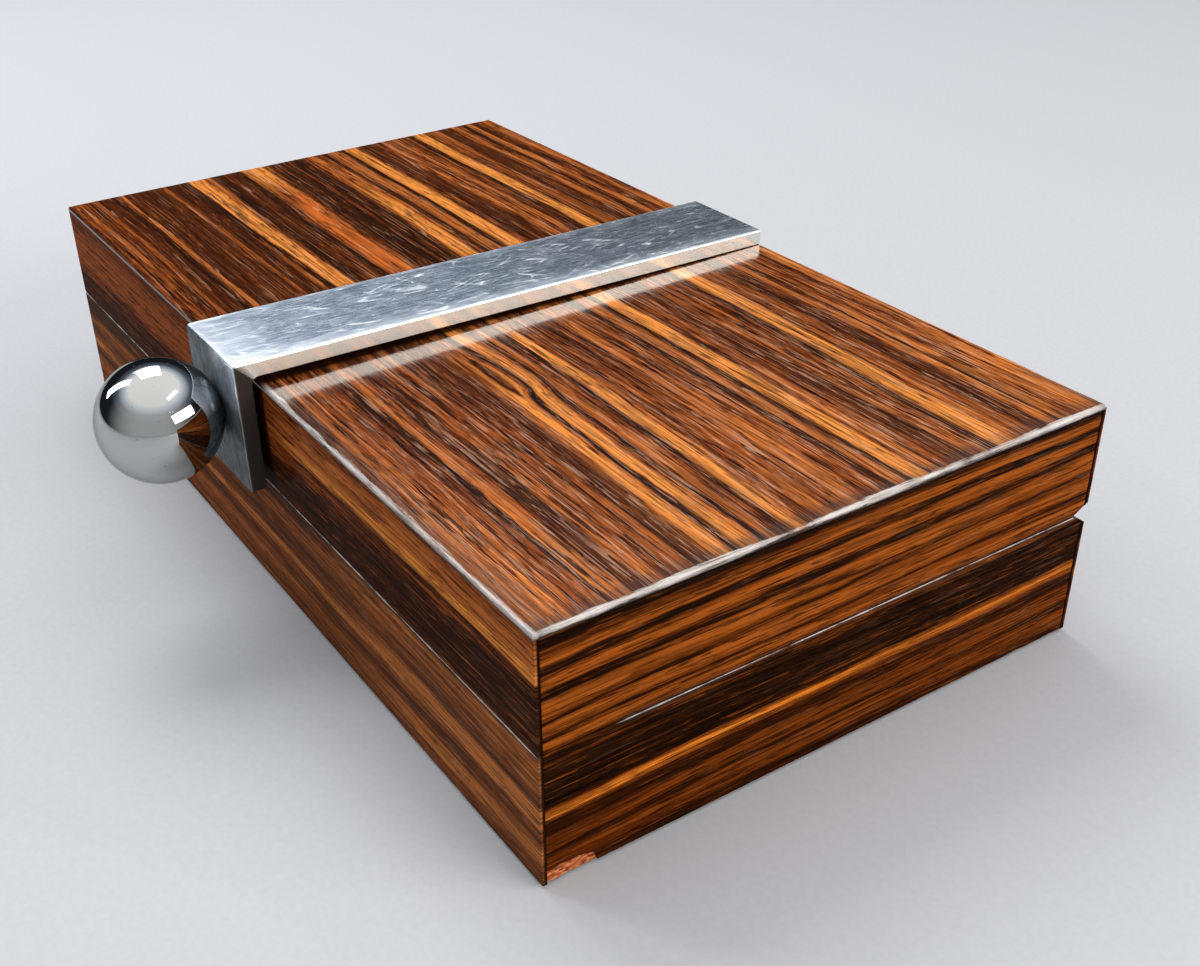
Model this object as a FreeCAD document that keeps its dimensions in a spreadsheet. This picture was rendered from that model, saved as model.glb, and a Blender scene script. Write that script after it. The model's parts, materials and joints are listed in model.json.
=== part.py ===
import FreeCAD, Part
import os
import re
import Sketcher

# Veneered table box with a hinged lid, a metal strap over the lid and a ball handle.
# Millimetres. X runs along the front, Y from front to back, Z up.
# The origin is the centre of the underside, on the surface that the box stands on.

# Driving sizes
SIZES = [
    ("box_width", 180.0, "outside width, along the front"),
    ("box_depth", 101.0, "outside depth, front to back"),
    ("base_height", 22.1, "height of the base above its felt"),
    ("lid_height", 18.7, "height of the lid with its top veneer"),
    ("parting_gap", 0.2, "gap between the closed lid and the base"),
    ("veneer", 0.8, "thickness of the show veneer"),
    ("wall", 7.2, "thickness of the carcass walls"),
    ("corner_lip", 2.4, "front and back wall left outside the end of a side wall"),
    ("floor_thickness", 5.0, "thickness of the floor board"),
    ("panel_thickness", 5.2, "thickness of the lid panel"),
    ("board_seat", 4.0, "how far the floor and the panel are let into the walls"),
    ("lining", 1.5, "thickness of the inside lining"),
    ("felt", 0.5, "thickness of the felt under the base"),
    ("felt_inset", 1.5, "felt kept back from the outside faces"),
    ("arris_radius", 0.35, "rounding along the edges of the top veneer"),
    ("groove_depth", 3.1, "depth of the V groove along the back"),
    ("groove_rise", 1.8, "half the mouth of the V groove"),
    ("hinge_length", 24.0, "length of a hinge"),
    ("hinge_inset", 38.0, "end of the box to the middle of a hinge"),
    ("barrel_diameter", 2.8, "outside of the hinge knuckles"),
    ("barrel_setback", 0.05, "barrel inside the back face"),
    ("middle_knuckle", 8.0, "length of the lid's knuckle"),
    ("knuckle_gap", 0.15, "end gap between two knuckles, and between a knuckle and a leaf"),
    ("pin_diameter", 1.4, "hinge pin"),
    ("pin_clearance", 0.05, "room round the pin in its knuckles"),
    ("leaf_width", 5.8, "hinge axis to the front edge of a leaf"),
    ("leaf_thickness", 0.9, "hinge leaf"),
    ("mortise_clearance", 0.1, "room round a leaf in its mortise"),
    ("recess_clearance", 0.2, "room round the barrel in the wood"),
    ("hinge_screw_row", 3.6, "hinge axis to the row of screws"),
    ("hinge_screw_spread", 15.0, "distance between the two screws of a leaf"),
    ("hinge_screw_head", 2.8, "head diameter"),
    ("hinge_screw_shank", 1.4, "shank diameter"),
    ("hinge_screw_length", 7.0, "length with the head"),
    ("hinge_screw_point", 1.2, "length of the pointed end"),
    ("hinge_screw_slot", 0.4, "width of the slot"),
    ("hinge_screw_slot_depth", 0.3, "depth of the slot"),
    ("screw_clearance", 0.05, "room round a screw in its hole"),
    ("hole_spare", 0.3, "hole deeper than its screw"),
    ("head_sink", 0.05, "countersunk heads below the face they sit in"),
    ("strap_width", 20.0, "width of the bar"),
    ("strap_thickness", 2.8, "thickness of the bar"),
    ("strap_lift", 1.4, "underside of the strap above the lid at the front corner"),
    ("drop_gap", 1.3, "inner face of the drop in front of the box"),
    ("drop_rise", 0.3, "end of the drop above the lower edge of the lid"),
    ("strap_bend_radius", 1.0, "inside corner of the bend"),
    ("strap_edge_radius", 0.35, "rounding of the bar's long edges"),
    ("strap_screw_spread", 60.0, "distance between the two strap screws"),
    ("strap_screw_shank", 3.0, "strap screw thread"),
    ("strap_screw_head", 5.5, "strap screw head diameter"),
    ("strap_screw_head_height", 1.6, "strap screw head height"),
    ("strap_screw_reach", 2.3, "end of a strap screw above the lid"),
    ("strap_screw_slot", 0.8, "width of the slot"),
    ("strap_screw_slot_depth", 0.8, "depth of the slot"),
    ("counterbore_spare", 0.2, "counterbore deeper and wider than the head"),
    ("ball_diameter", 20.4, "ball handle"),
    ("ball_flat", 0.4, "depth of the flat by which the ball seats on the drop"),
    ("ball_height", 12.3, "middle of the ball above the lower edge of the lid"),
    ("ball_screw_shank", 4.0, "ball screw thread"),
    ("ball_screw_head", 7.4, "ball screw head diameter"),
    ("ball_screw_grip", 8.0, "length of the ball screw inside the ball"),
    ("ball_screw_slot", 1.0, "width of the slot"),
    ("ball_screw_slot_depth", 0.8, "depth of the slot"),
    ("overrun", 1.0, "cutting tools pass this far through the faces they leave by"),
]

# Sizes and levels worked out from the driving sizes
LAYOUT = [
    ("core_width", "box_width - 2 * veneer", "width of the carcass"),
    ("core_depth", "box_depth - 2 * veneer", "depth of the carcass"),
    ("inner_width", "core_width - 2 * wall", "width between the side walls"),
    ("inner_depth", "core_depth - 2 * wall", "depth between the front and back walls"),
    ("rim_level", "felt + base_height", "top of the base"),
    ("parting_level", "rim_level + parting_gap / 2", "middle of the parting gap"),
    ("lid_level", "rim_level + parting_gap", "lower edge of the lid"),
    ("lid_top", "lid_level + lid_height", "top of the lid"),
    ("panel_top", "lid_top - veneer", "top of the lid panel"),
    ("panel_level", "panel_top - panel_thickness", "underside of the lid panel"),
    ("floor_top", "felt + floor_thickness", "top of the floor board"),
    ("back_face", "box_depth / 2", "back of the box"),
    ("front_face", "-box_depth / 2", "front of the box"),
    ("hinge_place", "box_width / 2 - hinge_inset", "middle of the box to the middle of a hinge"),
    ("pin_line", "back_face - barrel_diameter / 2 - barrel_setback", "hinge axis"),
    ("groove_mouth", "groove_rise * (groove_depth + overrun) / groove_depth", "half the groove tool"),
    ("leaf_edge", "pin_line - barrel_diameter / 2 - knuckle_gap", "back edge of a leaf's plate"),
    ("outer_knuckle", "(hinge_length - middle_knuckle) / 2 - knuckle_gap", "the base's knuckles"),
    ("hinge_screw_cone", "(hinge_screw_head - hinge_screw_shank) / 2", "height of a hinge screw head"),
    ("drop_inner", "front_face - drop_gap", "inner face of the drop"),
    ("drop_outer", "drop_inner - strap_thickness", "outer face of the drop"),
    ("drop_end", "lid_level + drop_rise", "lower end of the drop"),
    ("strap_front_under", "lid_top + strap_lift", "underside of the strap at the bend"),
    ("strap_front_over", "strap_front_under + strap_thickness", "top of the strap at the bend"),
    ("strap_back_over", "lid_top + strap_thickness", "top of the strap at the back"),
    ("strap_screw_seat", "panel_level + counterbore_spare", "lower face of a strap screw head"),
    ("strap_screw_length", "lid_top + strap_screw_reach - strap_screw_seat", "strap screw"),
    ("ball_level", "lid_level + ball_height", "middle of the ball, up"),
    ("ball_line", "drop_outer - ball_diameter / 2 + ball_flat", "middle of the ball, front to back"),
    ("ball_screw_cone", "(ball_screw_head - ball_screw_shank) / 2", "height of the ball screw head"),
    ("ball_screw_seat", "drop_inner - head_sink", "face of the ball screw head"),
    ("ball_screw_length", "strap_thickness + ball_screw_grip", "ball screw"),
]

doc = FreeCAD.newDocument("VeneeredBox")
sheet = doc.addObject("Spreadsheet::Sheet", "Sizes")
for row, (alias, value, note) in enumerate(SIZES, 1):
    sheet.set(f"A{row}", note)
    sheet.set(f"B{row}", str(value))
    sheet.setAlias(f"B{row}", alias)
doc.recompute()
for row, (alias, formula, note) in enumerate(LAYOUT, len(SIZES) + 1):
    sheet.set(f"A{row}", note)
    sheet.set(f"B{row}", f"={formula}")
    sheet.setAlias(f"B{row}", alias)
    doc.recompute()

ALONG_X = FreeCAD.Rotation(FreeCAD.Vector(0, 1, 0), 90)
FORWARD = FreeCAD.Rotation(FreeCAD.Vector(1, 0, 0), 90)
DOWN = FreeCAD.Rotation(FreeCAD.Vector(1, 0, 0), 180)
ABOUT_FACE = FreeCAD.Rotation(FreeCAD.Vector(0, 0, 1), 180)
UPRIGHT = FreeCAD.Rotation()

parts = {}


def of_sizes(formula):
    """Turn a formula of size names into an expression that reads the sheet."""
    return re.sub(r"[a-z][a-z_]+", r"Sizes.\g<0>", formula)


def bind(thing, **formulas):
    """Bind properties of an object to formulas of size names."""
    for name, formula in formulas.items():
        thing.setExpression(name, of_sizes(formula))


def place(thing, at, turn=UPRIGHT):
    """Turn an object and bind its place to three formulas."""
    thing.Placement = FreeCAD.Placement(FreeCAD.Vector(), turn)
    for axis, formula in zip("xyz", at):
        thing.setExpression(f"Placement.Base.{axis}", of_sizes(formula))


def block(name, size, at):
    """A box from three sizes and its lowest corner."""
    box = doc.addObject("Part::Box", name)
    bind(box, Length=size[0], Width=size[1], Height=size[2])
    place(box, at)
    return box


def rod(name, radius, length, at, turn=UPRIGHT):
    """A cylinder from the middle of its first end."""
    cylinder = doc.addObject("Part::Cylinder", name)
    bind(cylinder, Radius=radius, Height=length)
    place(cylinder, at, turn)
    return cylinder


def taper(name, first_radius, last_radius, length, at, turn=UPRIGHT):
    """A cone from the middle of its first end."""
    cone = doc.addObject("Part::Cone", name)
    bind(cone, Radius1=first_radius, Radius2=last_radius, Height=length)
    place(cone, at, turn)
    return cone


def cut(piece, *tools):
    """Take each tool away from a piece."""
    for tool in tools:
        result = doc.addObject("Part::Cut", f"{piece.Name}_cut")
        result.Base = piece
        result.Tool = tool
        piece = result
    return piece


def join(name, *pieces):
    """Make one solid of several that meet."""
    result = doc.addObject("Part::MultiFuse", name)
    result.Shapes = list(pieces)
    result.Refine = True
    return result


def keep(label, thing):
    """Name a finished sub-part."""
    thing.Label = label
    parts[label] = thing
    return thing


def group(label, things):
    """Keep identical fasteners as one sub-part of separate solids."""
    compound = doc.addObject("Part::Compound", f"{label}_group")
    compound.Links = things
    return keep(label, compound)


def outline(body, name, plane, points):
    """A closed sketch of straight lines whose corners are bound to formulas."""
    sketch = body.newObject("Sketcher::SketchObject", name)
    support = [face for face in body.Origin.OriginFeatures if face.Role == plane][0]
    sketch.AttachmentSupport = [(support, "")]
    sketch.MapMode = "FlatFace"
    count = len(points)
    # A regular figure to start from, which the constraints pull to its sizes
    spoke, upright = FreeCAD.Vector(1, 0, 0), FreeCAD.Vector(0, 0, 1)
    corners = [FreeCAD.Rotation(upright, 360 * i / count).multVec(spoke) for i in range(count)]
    for i in range(count):
        sketch.addGeometry(Part.LineSegment(corners[i], corners[(i + 1) % count]))
    for i in range(count):
        sketch.addConstraint(Sketcher.Constraint("Coincident", i, 2, (i + 1) % count, 1))
    for i, point in enumerate(points):
        for kind, axis, formula in zip(("DistanceX", "DistanceY"), (-2, -1), point):
            if formula == "0":
                sketch.addConstraint(Sketcher.Constraint("PointOnObject", i, 1, axis))
                continue
            index = sketch.addConstraint(Sketcher.Constraint(kind, -1, 1, i, 1, 1.0))
            sketch.setExpression(f"Constraints[{index}]", of_sizes(formula))
    return sketch


def screw(name, profile, slot, slot_length, slot_depth, at, turn):
    """A slotted screw, turned from half its profile with the head at the start."""
    body = doc.addObject("PartDesign::Body", name)
    half = outline(body, f"{name}_profile", "XZ_Plane", profile)
    turned = body.newObject("PartDesign::Revolution", f"{name}_turned")
    turned.Profile = half
    turned.ReferenceAxis = (half, ["V_Axis"])
    turned.Angle = 360.0
    doc.recompute()
    before = turned.Shape.Volume
    low, high = f"-{slot} / 2", f"{slot} / 2"
    left, right = f"-{slot_length} / 2 - overrun", f"{slot_length} / 2 + overrun"
    mouth = [(left, low), (right, low), (right, high), (left, high)]
    saw_cut = body.newObject("PartDesign::Pocket", f"{name}_slot")
    saw_cut.Profile = outline(body, f"{name}_slot_mouth", "XY_Plane", mouth)
    bind(saw_cut, Length=slot_depth)
    saw_cut.Reversed = True
    place(body, at, turn)
    doc.recompute()
    if body.Shape.Volume >= before:
        raise RuntimeError(f"the slot of {name} cuts nothing")
    return body


def countersunk(head, shank, cone, length, point="0"):
    """Half the profile of a countersunk screw, from the face of its head."""
    radius = f"{shank} / 2"
    shoulder = f"{length} - {point}"
    return [("0", "0"), (f"{head} / 2", "0"), (radius, cone), (radius, shoulder), ("0", length)]


# Boards that close the two halves, and the groove that both halves share
board_size = ["inner_width + 2 * board_seat", "inner_depth + 2 * board_seat"]
board_corner = ["-inner_width / 2 - board_seat", "-inner_depth / 2 - board_seat"]
floor = keep("base_floor", block("floor_board", board_size + ["floor_thickness"], board_corner + ["felt"]))
panel = block("panel_board", board_size + ["panel_thickness"], board_corner + ["panel_level"])

groove = doc.addObject("Part::Wedge", "back_groove")
groove_end = "box_width / 2 + overrun"
bind(groove, Xmin=f"-({groove_end})", X2min=f"-({groove_end})", Xmax=groove_end, X2max=groove_end)
bind(groove, Ymin="0", Ymax="groove_depth + overrun", Zmin="-groove_mouth", Zmax="groove_mouth")
bind(groove, Z2min="0", Z2max="0")
place(groove, ("0", "back_face + overrun", "parting_level"), ABOUT_FACE)


def mortise(half, side, leaf_room_level):
    """The room that a hinge needs in one half: a leaf's mortise and the barrel's recess."""
    start = f"{side} * hinge_place - hinge_length / 2 - mortise_clearance"
    length = "hinge_length + 2 * mortise_clearance"
    depth = "leaf_width + mortise_clearance + overrun + back_face - pin_line"
    front = "pin_line - leaf_width - mortise_clearance"
    leaf_room = block(f"{half}_leaf_room", [length, depth, "leaf_thickness + overrun"],
                      [start, front, leaf_room_level])
    barrel_room = rod(f"{half}_barrel_room", "barrel_diameter / 2 + recess_clearance", length,
                      [start, "pin_line", "parting_level"], ALONG_X)
    return [leaf_room, barrel_room]


def pilot_holes(half, level, turn):
    """Holes in the wood for the hinge screws of one half."""
    holes = []
    for x in hinge_screw_places:
        holes.append(rod(f"{half}_pilot", hinge_shank_room, "hinge_screw_length + hole_spare",
                         [x, hinge_screw_line, level], turn))
    return holes


# Two screws in each leaf of the two hinges
hinge_screw_line = "pin_line - hinge_screw_row"
hinge_shank_room = "hinge_screw_shank / 2 + screw_clearance"
hinge_head_room = "hinge_screw_head / 2 + screw_clearance"
hinge_head_level = {"base": "rim_level - head_sink", "lid": "lid_level + head_sink"}
hinge_screw_places = [f"{side} * hinge_place + {end} * hinge_screw_spread / 2"
                      for side in (-1, 1) for end in (-1, 1)]
mortises = {"base": [], "lid": []}
for side in (-1, 1):
    mortises["base"] += mortise("base", side, "rim_level - leaf_thickness")
    mortises["lid"] += mortise("lid", side, "lid_level - overrun")
mortises["base"] += pilot_holes("base", "rim_level", DOWN)
mortises["lid"] += pilot_holes("lid", "lid_level", UPRIGHT)


def carcass(half, level, height, board, lining_level, lining_height):
    """The walls, side veneers and side linings of one half."""
    corner_x, corner_y = "core_width / 2", "core_depth / 2"
    rebate = ["wall + overrun", "wall - corner_lip + overrun", f"{height} + 2 * overrun"]
    for end, wall_y, rebate_y in (("front", f"-{corner_y}", f"-{corner_y} + corner_lip"),
                                  ("back", f"{corner_y} - wall", f"{corner_y} - wall - overrun")):
        blank = block(f"{half}_{end}_blank", ["core_width", "wall", height],
                      [f"-{corner_x}", wall_y, level])
        laps = [block(f"{half}_{end}_lap", rebate, [lap_x, rebate_y, f"{level} - overrun"])
                for lap_x in (f"-{corner_x} - overrun", f"{corner_x} - wall")]
        tools = laps + [board]
        if end == "back":
            tools += [groove] + mortises[half]
        keep(f"{half}_{end}_wall", cut(blank, *tools))
    for end, wall_x in (("left", f"-{corner_x}"), ("right", f"{corner_x} - wall")):
        blank = block(f"{half}_{end}_blank", ["wall", "core_depth - 2 * corner_lip", height],
                      [wall_x, f"-{corner_y} + corner_lip", level])
        keep(f"{half}_{end}_wall", cut(blank, board, groove))

    for end, skin_y in (("front", "front_face"), ("back", "back_face - veneer")):
        skin = block(f"{half}_{end}_skin", ["box_width", "veneer", height],
                     ["-box_width / 2", skin_y, level])
        tools = [groove] + mortises[half] if end == "back" else []
        keep(f"{half}_{end}_veneer", cut(skin, *tools))
    for end, skin_x in (("left", "-box_width / 2"), ("right", "box_width / 2 - veneer")):
        skin = block(f"{half}_{end}_skin", ["veneer", "core_depth", height],
                     [skin_x, f"-{corner_y}", level])
        keep(f"{half}_{end}_veneer", cut(skin, groove))

    for end, lining_y in (("front", "-inner_depth / 2"), ("back", "inner_depth / 2 - lining")):
        keep(f"{half}_{end}_lining", block(f"{half}_{end}_facing", ["inner_width", "lining", lining_height],
                                           ["-inner_width / 2", lining_y, lining_level]))
    for end, lining_x in (("left", "-inner_width / 2"), ("right", "inner_width / 2 - lining")):
        keep(f"{half}_{end}_lining", block(f"{half}_{end}_facing",
                                           ["lining", "inner_depth - 2 * lining", lining_height],
                                           [lining_x, "-inner_depth / 2 + lining", lining_level]))


carcass("base", "felt", "base_height", floor, "floor_top", "rim_level - floor_top")
carcass("lid", "lid_level", "lid_height - veneer", panel, "lid_level", "panel_level - lid_level")

# Lining of the floor and of the panel, and the felt underneath
lining_size = ["inner_width - 2 * lining", "inner_depth - 2 * lining", "lining"]
lining_corner = ["-inner_width / 2 + lining", "-inner_depth / 2 + lining"]
keep("base_floor_lining", block("floor_facing", lining_size, lining_corner + ["floor_top"]))
keep("lid_panel_lining", block("panel_facing", lining_size, lining_corner + ["panel_level - lining"]))
keep("base_felt", block("felt_sheet", ["box_width - 2 * felt_inset", "box_depth - 2 * felt_inset", "felt"],
                        ["-box_width / 2 + felt_inset", "front_face + felt_inset", "0"]))

# Hinges: a base leaf with two knuckles, a lid leaf with one between them, and a pin
for side, end in ((-1, "left"), (1, "right")):
    middle = f"{side} * hinge_place"
    first = f"{middle} - hinge_length / 2"
    plate_depth = "leaf_width - barrel_diameter / 2 - knuckle_gap"
    bore = rod(f"{end}_bore", "pin_diameter / 2 + pin_clearance", "hinge_length + 2 * overrun",
               [f"{first} - overrun", "pin_line", "parting_level"], ALONG_X)
    last = f"{middle} + hinge_length / 2 - outer_knuckle"
    knuckles = {
        "base": [(first, "outer_knuckle"), (last, "outer_knuckle")],
        "lid": [(f"{middle} - middle_knuckle / 2", "middle_knuckle")],
    }
    for half, leaf_level, turn, turn_out in (("base", "rim_level - leaf_thickness", DOWN, UPRIGHT),
                                             ("lid", "lid_level", UPRIGHT, DOWN)):
        pieces = [block(f"{end}_{half}_plate", ["hinge_length", plate_depth, "leaf_thickness"],
                        [first, "pin_line - leaf_width", leaf_level])]
        for start, length in knuckles[half]:
            pieces.append(rod(f"{end}_{half}_knuckle", "barrel_diameter / 2", length,
                              [start, "pin_line", "parting_level"], ALONG_X))
            pieces.append(block(f"{end}_{half}_neck", [length, "pin_line - leaf_edge", "leaf_thickness"],
                                [start, "leaf_edge", leaf_level]))
        sinks = []
        for way in (-1, 1):
            spot = [f"{middle} + {way} * hinge_screw_spread / 2", hinge_screw_line, hinge_head_level[half]]
            sinks.append(taper(f"{end}_{half}_sink", hinge_head_room, hinge_shank_room, "hinge_screw_cone",
                               spot, turn))
            sinks.append(rod(f"{end}_{half}_hole", hinge_shank_room, "hinge_screw_length", spot, turn))
            sinks.append(rod(f"{end}_{half}_mouth", hinge_head_room, "head_sink + overrun", spot, turn_out))
        leaf = join(f"{end}_{half}_leaf", *pieces)
        keep(f"{end}_hinge_{half}_leaf", cut(leaf, bore, *sinks))
    keep(f"{end}_hinge_pin", rod(f"{end}_pin", "pin_diameter / 2", "hinge_length",
                                 [first, "pin_line", "parting_level"], ALONG_X))

hinge_screw = countersunk("hinge_screw_head", "hinge_screw_shank", "hinge_screw_cone", "hinge_screw_length",
                          "hinge_screw_point")
for half, turn in (("base", DOWN), ("lid", UPRIGHT)):
    screws = []
    for x in hinge_screw_places:
        screws.append(screw(f"{half}_hinge_screw", hinge_screw, "hinge_screw_slot", "hinge_screw_head",
                            "hinge_screw_slot_depth", [x, hinge_screw_line, hinge_head_level[half]], turn))
    group(f"hinge_{half}_screws", screws)

# Strap screws, up through the panel and the top veneer into the strap
strap_screw_places = [f"{end} * strap_screw_spread / 2" for end in (-1, 1)]
shank_radius, head_radius = "strap_screw_shank / 2", "strap_screw_head / 2"
strap_screw = [("0", "0"), (head_radius, "0"), (head_radius, "strap_screw_head_height"),
               (shank_radius, "strap_screw_head_height"), (shank_radius, "strap_screw_length"),
               ("0", "strap_screw_length")]
strap_screws = []
shank_rooms = []
head_rooms = []
for y in strap_screw_places:
    strap_screws.append(screw("strap_screw", strap_screw, "strap_screw_slot", "strap_screw_head",
                              "strap_screw_slot_depth", ["0", y, "strap_screw_seat"], UPRIGHT))
    shank_rooms.append(rod("strap_screw_room", f"{shank_radius} + screw_clearance",
                           "strap_screw_length + hole_spare", ["0", y, "strap_screw_seat"]))
    head_rooms.append(rod("strap_screw_counterbore", f"{head_radius} + counterbore_spare",
                          "overrun + 2 * counterbore_spare + strap_screw_head_height",
                          ["0", y, "panel_level - overrun"]))
group("strap_screws", strap_screws)
keep("lid_panel", cut(panel, *shank_rooms, *head_rooms))

# Top veneer, over the edges of the side veneers, with its upper arrises rounded
top = block("top_skin", ["box_width", "box_depth", "veneer"], ["-box_width / 2", "front_face", "panel_top"])
drilled = cut(top, *shank_rooms)
doc.recompute()
top_veneer = doc.addObject("Part::Fillet", "top_veneer")
top_veneer.Base = drilled
upper_level = sheet.get("lid_top")
arris = float(sheet.get("arris_radius"))
upper_edges = [i for i, edge in enumerate(drilled.Shape.Edges, 1)
               if edge.Curve.TypeId == "Part::GeomLine" and edge.BoundBox.ZMin > upper_level - arris / 2]
top_veneer.Edges = [(i, arris, arris) for i in upper_edges]
keep("lid_top_veneer", top_veneer)

# Strap: one bar bent to an L, with the bend and the long edges rounded
strap = doc.addObject("PartDesign::Body", "strap_bar")
side_view = outline(strap, "strap_side", "YZ_Plane", [
    ("back_face", "lid_top"), ("back_face", "strap_back_over"), ("drop_outer", "strap_front_over"),
    ("drop_outer", "drop_end"), ("drop_inner", "drop_end"), ("drop_inner", "strap_front_under")])
bar = strap.newObject("PartDesign::Pad", "strap_pad")
bar.Profile = side_view
bar.Midplane = True
bind(bar, Length="strap_width")
doc.recompute()


def edges_of(shape, wanted):
    """Names of the straight edges that pass a test."""
    return [f"Edge{i}" for i, edge in enumerate(shape.Edges, 1)
            if edge.Curve.TypeId == "Part::GeomLine" and wanted(edge.BoundBox)]


half_width = sheet.get("strap_width") / 2
bend_y = sheet.get("drop_inner")
bend_z = sheet.get("strap_front_under")
near = sheet.get("strap_edge_radius") / 2
bend = strap.newObject("PartDesign::Fillet", "strap_bend")
bend.Base = (bar, edges_of(bar.Shape, lambda box: box.XLength > half_width and abs(box.YMax - bend_y) < near
                           and abs(box.ZMax - bend_z) < near))
bind(bend, Radius="strap_bend_radius")
doc.recompute()
outer_y = sheet.get("drop_outer")
edges = strap.newObject("PartDesign::Fillet", "strap_edges")
edges.Base = (bend, edges_of(bend.Shape, lambda box: box.ZMax > upper_level + near
                             and box.ZMin > sheet.get("strap_back_over") - near
                             or box.YMax < outer_y + near))
bind(edges, Radius="strap_edge_radius")
doc.recompute()

ball_at = ["0", "ball_screw_seat", "ball_level"]
ball_screw_room = rod("ball_screw_room", "ball_screw_shank / 2 + screw_clearance",
                      "ball_screw_length + hole_spare", ball_at, FORWARD)
ball_screw_sink = taper("ball_screw_sink", "ball_screw_head / 2 + screw_clearance",
                        "ball_screw_shank / 2 + screw_clearance", "ball_screw_cone", ball_at, FORWARD)
ball_screw_mouth = rod("ball_screw_mouth", "ball_screw_head / 2 + screw_clearance", "head_sink",
                       ["0", "drop_inner", "ball_level"], FORWARD)
keep("strap", cut(strap, *shank_rooms, ball_screw_room, ball_screw_sink, ball_screw_mouth))

# Ball handle, seated by a small flat on the drop and held by its screw
ball = doc.addObject("Part::Sphere", "ball")
bind(ball, Radius="ball_diameter / 2")
place(ball, ("0", "ball_line", "ball_level"))
flat = block("ball_flat_cut", ["ball_diameter", "ball_diameter", "ball_diameter"],
             ["-ball_diameter / 2", "drop_outer", "ball_level - ball_diameter / 2"])
keep("ball_knob", cut(ball, flat, ball_screw_room))
ball_profile = countersunk("ball_screw_head", "ball_screw_shank", "ball_screw_cone", "ball_screw_length")
keep("ball_screw", screw("ball_handle_screw", ball_profile, "ball_screw_slot", "ball_screw_head",
                         "ball_screw_slot_depth", ball_at, FORWARD))

doc.recompute()
faults = [thing.Label for thing in doc.Objects if {"Invalid", "Error"} & set(thing.State)]
faults += [label for label, thing in parts.items() if thing.Shape.isNull() or not thing.Shape.isValid()]
if faults:
    raise RuntimeError(f"these did not build: {faults}")

os.makedirs("parts", exist_ok=True)
for label, thing in parts.items():
    thing.Shape.exportStep(f"parts/{label}.step")
print(f"{len(parts)} sub-parts written")
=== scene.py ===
# %% [markdown]
# # A low box in striped veneer
# The real box is a plain carcass of thin boards, faced on every side with striped ebony veneer. A flat
# nickel strap runs over the lid and turns down at the front, where a polished ball is the lift handle.
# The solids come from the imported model, each at its real size and place. This script gives every surface
# its finish, remakes the pieces whose edges are worn, and sets up the camera and the light.

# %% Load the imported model
import json
import math
from collections import namedtuple

import bmesh
import bpy
from mathutils import Matrix, Vector, noise

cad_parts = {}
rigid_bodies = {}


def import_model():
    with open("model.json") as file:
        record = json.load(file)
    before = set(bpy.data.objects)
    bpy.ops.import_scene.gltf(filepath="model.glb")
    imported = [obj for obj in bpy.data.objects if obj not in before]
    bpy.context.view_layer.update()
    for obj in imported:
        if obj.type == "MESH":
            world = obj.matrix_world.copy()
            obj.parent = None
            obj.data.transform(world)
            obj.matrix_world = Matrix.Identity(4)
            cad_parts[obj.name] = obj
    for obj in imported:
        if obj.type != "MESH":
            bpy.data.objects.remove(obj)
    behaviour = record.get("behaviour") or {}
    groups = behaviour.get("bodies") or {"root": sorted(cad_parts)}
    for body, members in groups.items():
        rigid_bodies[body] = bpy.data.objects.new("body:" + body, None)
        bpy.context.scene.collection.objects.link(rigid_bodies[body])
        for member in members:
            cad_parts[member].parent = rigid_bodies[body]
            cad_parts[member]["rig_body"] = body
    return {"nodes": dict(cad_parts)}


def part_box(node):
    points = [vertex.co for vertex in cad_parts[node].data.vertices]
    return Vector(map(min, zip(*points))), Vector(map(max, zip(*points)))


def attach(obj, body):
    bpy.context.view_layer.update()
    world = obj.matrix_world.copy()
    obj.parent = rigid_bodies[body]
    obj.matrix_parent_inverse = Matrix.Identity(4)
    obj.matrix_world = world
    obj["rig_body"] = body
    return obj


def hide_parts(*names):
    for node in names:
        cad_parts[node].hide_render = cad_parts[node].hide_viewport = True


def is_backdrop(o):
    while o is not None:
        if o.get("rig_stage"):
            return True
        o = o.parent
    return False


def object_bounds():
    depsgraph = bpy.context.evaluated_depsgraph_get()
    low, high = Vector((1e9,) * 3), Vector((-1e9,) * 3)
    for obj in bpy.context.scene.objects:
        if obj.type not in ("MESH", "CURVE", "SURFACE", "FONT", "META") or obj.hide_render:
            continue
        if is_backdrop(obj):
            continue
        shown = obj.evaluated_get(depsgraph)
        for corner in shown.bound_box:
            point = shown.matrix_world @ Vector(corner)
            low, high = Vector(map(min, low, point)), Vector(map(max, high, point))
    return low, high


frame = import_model()
nodes = frame["nodes"]
cad_low, cad_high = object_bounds()
mm = 0.001
tiny = 0.001 * mm

half_width, half_depth, lid_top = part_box("lid_top_veneer")[1]
print(f"{len(nodes)} solids; the lid's top is {2000 * half_width:.1f} by {2000 * half_depth:.1f} mm")

# %% [markdown]
# # Camera
# The box was seen from above its front right corner with an ordinary lens, less than 30 cm away. A camera
# could be aimed with a constraint, but its place and three angles are known, so they are written down:
# the turn about the vertical, the dip below the horizon and the small roll of a hand-held view.

# %% Camera
camera_place = Vector((206.8, -120.4, 142.5)) * mm
camera_turn = math.radians(57.61)
camera_dip = math.radians(31.63)
camera_roll = math.radians(-1.40)

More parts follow.
